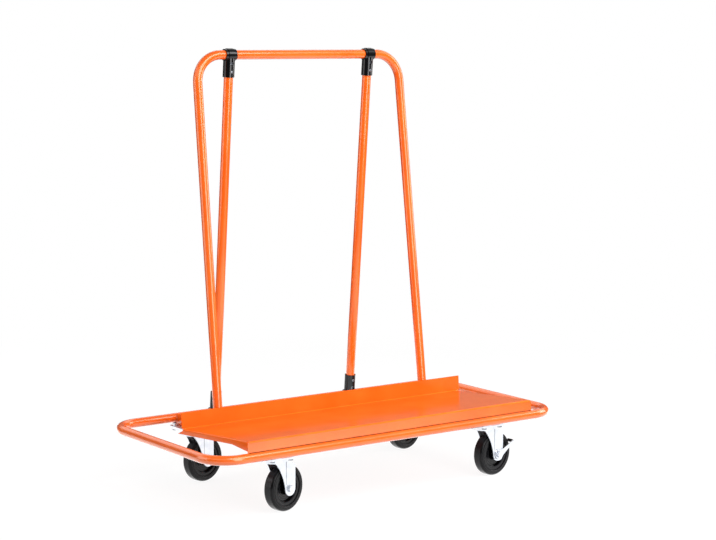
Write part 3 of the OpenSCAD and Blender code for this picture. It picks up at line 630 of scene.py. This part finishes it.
def makeCasterTrim(name):
    p = casterTrim
    bm = bmesh.new()
    addLathe(bm, p["lip"], casterSeat(name), steps=p["lipSteps"])
    finishPiece(bm, name + "_dustLip", "cart_frame", "black_core_plastic")
    bm = bmesh.new()
    for side in (-1, 1):
        known = set(bm.verts)
        rim = [bm.verts.new((p["beadX"] + x, side * (p["legFace"] + y), p["beadTop"])) for x, y in p["bead"]]
        face = bm.faces.new(rim)
        grown = bmesh.ops.extrude_face_region(bm, geom=[face])
        moved = [v for v in grown["geom"] if isinstance(v, bmesh.types.BMVert)]
        bmesh.ops.translate(bm, vec=(0, 0, p["beadLow"] - p["beadTop"]), verts=moved)
        bmesh.ops.scale(bm, vec=(p["beadTaper"], 1, 1), verts=moved, space=shift(-p["beadX"], 0, 0))
        bmesh.ops.transform(bm, matrix=casterTurn(name), verts=[v for v in bm.verts if v not in known])
    # The beads take the darker zinc as painted shade along the fork's crease
    finishPiece(bm, name + "_legBeads", name + "_swivel", "zinc_plated_steel", dullAndShadedZinc)
    bm = bmesh.new()
    axle = casterAxle(name)
    addLathe(bm, p["treadLine"], axle, steps=p["tyreSteps"])
    for side in (-1, 1):
        addLathe(bm, [(radius, side * height) for radius, height in p["wallLine"]], axle,
                 steps=p["tyreSteps"])
    finishPiece(bm, name + "_tyreMouldLines", name + "_wheel", "black_tyre_rubber", tyreFinish[name])


for name in casterNames:
    makeCasterTrim(name)
print("caster trim made")

# Pedal covers: black moulded caps pushed over the brake pedals, with grip ribs on top, in mm and degrees
pedalCover = {
    "reach": 72, "depth": 8, "width": 22, "thick": 3, "wall": 0.9, "inner": 23.2, "up": 25, "edge": 0.9,
    "ribs": 4, "ribR": 0.7, "ribTipR": 0.49, "ribShort": 1.2, "ribTip": 0.3, "ribRound": 0.8, "ribSteps": 12,
}


def makePedalCover(name):
    p = pedalCover
    bm = bmesh.new()
    size = (p["depth"] + p["wall"], p["width"] - p["thick"], p["thick"] + 2 * p["wall"])
    centre = (p["reach"] - p["depth"] / 2 + p["wall"] / 2, p["width"] / 2 - p["inner"], 0)
    bmesh.ops.create_cube(bm, size=1, matrix=shift(*centre) @ Matrix.Diagonal((*size, 1)))
    bmesh.ops.bevel(bm, geom=list(bm.edges), offset=p["edge"], affect="EDGES", segments=3,
                    profile=0.5, material=-1)
    half, tip, full = size[1] / 2 - p["ribShort"], p["ribTip"], p["ribRound"]
    rib = [(0, -half), (p["ribTipR"], -half + tip), (p["ribR"], -half + full),
           (p["ribR"], half - full), (p["ribTipR"], half - tip), (0, half)]
    for i in range(p["ribs"]):
        x = centre[0] + size[0] * ((i + 0.5) / p["ribs"] - 0.5)
        lie = shift(x, centre[1], size[2] / 2) @ Matrix.Rotation(pi / 2, 4, "X")
        addLathe(bm, rib, lie, closed=False, steps=p["ribSteps"])
    place = wheelCentre(name) @ Matrix.Rotation(-radians(p["up"]), 4, "Y") @ inMm
    bmesh.ops.transform(bm, matrix=place, verts=bm.verts)
    finishPiece(bm, name + "_pedalCover", name + "_brake", "black_core_plastic")


for name in brakedNames:
    makePedalCover(name)
print("pedal covers made")

# Studio: white floor that fades into the white surround, soft panels, camera fitted to the tubes.
# In mirrorSky, height of the look and brightness; in patch, share of patchReach along X and brightness
studio = {
    "imageW": 716, "imageH": 540, "focalPx": 1881.2, "centreX": 338.7, "centreY": 321.07, "sensorMm": 36,
    "azimuth": -36.12, "elevation": 8.98, "roll": 0.33, "distance": 5.20319, "lookZ": 0.45,
    "skyLight": 0.18,
    "mirrorSky": [(0.0, 0.4), (0.06, 0.4), (0.14, 0.08), (0.38, 0.3), (0.48, 1.8), (0.66, 1.8), (0.78, 0.35)],
    "floorHalf": 30, "floorGlow": 0.9, "floorBounce": 0.34, "floorAlbedo": 0.13,
    "fadeFrom": 1.7, "fadeTo": 2.6, "mirrorNear": 1.9, "mirrorFloor": 0.05,
    "patch": [(0.06, 0.0), (0.14, 1.0), (0.37, 1.0), (0.43, 0.0)],
    "patchReach": 5, "patchNear": -1.6, "patchFar": -2.0,
    # name, place, aim, size, watts, and whether gloss mirrors it
    "panels": [
        ("frontPanel", (0.1, -3.4, 1.25), (0, 0, 0.9), (1.7, 2.2), 71, True),
        ("rightPanel", (3.2, -1.1, 1.6), (0.1, 0, 0.7), (1.8, 2.0), 62, True),
        ("leftPanel", (-3.3, 1.3, 1.2), (0, 0, 0.9), (2.4, 2.2), 44, True),
        ("upperPanel", (0.2, -2.0, 2.4), (0, -0.1, 0.3), (2.6, 1.3), 63, True),
        ("rearPanel", (-0.6, 3.4, 1.5), (0, 0, 0.7), (2.0, 2.0), 34, False),
    ],
}


def makeCamera():
    p = studio
    a, e = radians(p["azimuth"]), radians(p["elevation"])
    back = Vector((sin(a) * cos(e), -cos(a) * cos(e), sin(e)))
    data = bpy.data.cameras.new("studioCamera")
    camera = bpy.data.objects.new("studioCamera", data)
    scene.collection.objects.link(camera)
    data.sensor_width = p["sensorMm"]
    data.lens = p["focalPx"] * data.sensor_width / p["imageW"]
    data.shift_x = (p["imageW"] / 2 - p["centreX"]) / p["imageW"]
    data.shift_y = (p["centreY"] - p["imageH"] / 2) / p["imageW"]
    turn = (-back).to_track_quat("-Z", "Y").to_matrix().to_4x4()
    spot = Matrix.Translation(back * p["distance"] + Vector((0, 0, p["lookZ"])))
    camera.matrix_world = spot @ turn @ Matrix.Rotation(radians(p["roll"]), 4, "Z")
    scene.camera = camera


def makePanel(name, place, aim, size, watts, mirrored):
    data = bpy.data.lights.new(name, "AREA")
    data.shape = "RECTANGLE"
    data.size, data.size_y = size
    data.energy = watts
    light = bpy.data.objects.new(name, data)
    scene.collection.objects.link(light)
    light.location = place
    light.visible_glossy = mirrored
    light.rotation_euler = (Vector(aim) - Vector(place)).to_track_quat("-Z", "Y").to_euler()


def makeFloorFinish():                     # white to the camera, dimmer as a light, its own levels in gloss
    p = studio
    material, tree = startMaterial("paleFloor")
    place = addNode(tree, "ShaderNodeTexCoord").outputs["Object"]
    reach = addNode(tree, "ShaderNodeVectorMath", links={0: place}, operation="LENGTH")
    fade = addNode(tree, "ShaderNodeMapRange", {"From Min": p["fadeFrom"], "From Max": p["fadeTo"]},
                   {"Value": reach.outputs["Value"]}, interpolation_type="SMOOTHSTEP")
    diffuse = addNode(tree, "ShaderNodeBsdfDiffuse", {"Color": grey(p["floorAlbedo"])})
    path = addNode(tree, "ShaderNodeLightPath")
    seen, mirrored = path.outputs["Is Camera Ray"], path.outputs["Is Glossy Ray"]
    nearSeen = addNode(tree, "ShaderNodeMix", {"A": p["floorBounce"], "B": p["floorGlow"]},
                       {"Factor": seen})
    nearLevel = addNode(tree, "ShaderNodeMix", {"B": p["mirrorNear"]},
                        {"Factor": mirrored, "A": nearSeen.outputs["Result"]})
    glow = addNode(tree, "ShaderNodeEmission", {"Color": grey(1.0)},
                   {"Strength": nearLevel.outputs["Result"]})
    near = addNode(tree, "ShaderNodeAddShader", links={0: diffuse.outputs[0], 1: glow.outputs[0]})
    split = addNode(tree, "ShaderNodeSeparateXYZ", links={0: place})
    across = addNode(tree, "ShaderNodeMath", {1: p["patchReach"]}, {0: split.outputs["X"]},
                     operation="DIVIDE")
    patch = addNode(tree, "ShaderNodeValToRGB", links={"Fac": across.outputs["Value"]})
    setRamp(patch, [(spot, grey(level)) for spot, level in p["patch"]])
    ahead = addNode(tree, "ShaderNodeMapRange", {"From Min": p["patchNear"], "From Max": p["patchFar"]},
                    {"Value": split.outputs["Y"]})
    shine = addNode(tree, "ShaderNodeMath", {2: p["mirrorFloor"]},
                    {0: patch.outputs["Color"], 1: ahead.outputs["Result"]}, operation="MULTIPLY_ADD")
    farSeen = addNode(tree, "ShaderNodeMix", {"A": p["floorBounce"], "B": 1.0}, {"Factor": seen})
    farLevel = addNode(tree, "ShaderNodeMix", links={"Factor": mirrored, "A": farSeen.outputs["Result"],
                                                     "B": shine.outputs["Value"]})
    far = addNode(tree, "ShaderNodeEmission", {"Color": grey(1.0)},
                  {"Strength": farLevel.outputs["Result"]})
    both = addNode(tree, "ShaderNodeMixShader",
                   links={0: fade.outputs["Result"], 1: near.outputs[0], 2: far.outputs[0]})
    addNode(tree, "ShaderNodeOutputMaterial", links={"Surface": both.outputs[0]})
    return material


def makeFloor():
    bm = bmesh.new()
    bmesh.ops.create_grid(bm, x_segments=1, y_segments=1, size=studio["floorHalf"])
    mesh = bpy.data.meshes.new("studioFloor")
    bm.to_mesh(mesh)
    bm.free()
    floor = bpy.data.objects.new("studioFloor", mesh)
    scene.collection.objects.link(floor)
    mesh.materials.append(makeFloorFinish())


def makeWorld():
    p = studio
    world = bpy.data.worlds.new("studioWorld")
    world.use_nodes = True
    tree = world.node_tree
    tree.nodes.clear()
    path = addNode(tree, "ShaderNodeLightPath")
    around = addNode(tree, "ShaderNodeTexCoord").outputs["Generated"]
    look = addNode(tree, "ShaderNodeSeparateXYZ", links={0: around})
    mirror = addNode(tree, "ShaderNodeValToRGB", links={"Fac": look.outputs["Z"]})
    setRamp(mirror, [(rise, grey(level)) for rise, level in p["mirrorSky"]])
    shiny = addNode(tree, "ShaderNodeMix", {"A": p["skyLight"]},
                    {"Factor": path.outputs["Is Glossy Ray"], "B": mirror.outputs["Color"]})
    strength = addNode(tree, "ShaderNodeMix", {"B": 1.0},
                       {"Factor": path.outputs["Is Camera Ray"], "A": shiny.outputs["Result"]})
    sky = addNode(tree, "ShaderNodeBackground", {"Color": grey(1.0)},
                  {"Strength": strength.outputs["Result"]})
    addNode(tree, "ShaderNodeOutputWorld", links={"Surface": sky.outputs["Background"]})
    scene.world = world


makeCamera()
makeFloor()
makeWorld()
for panel in studio["panels"]:
    makePanel(*panel)
print("studio ready")
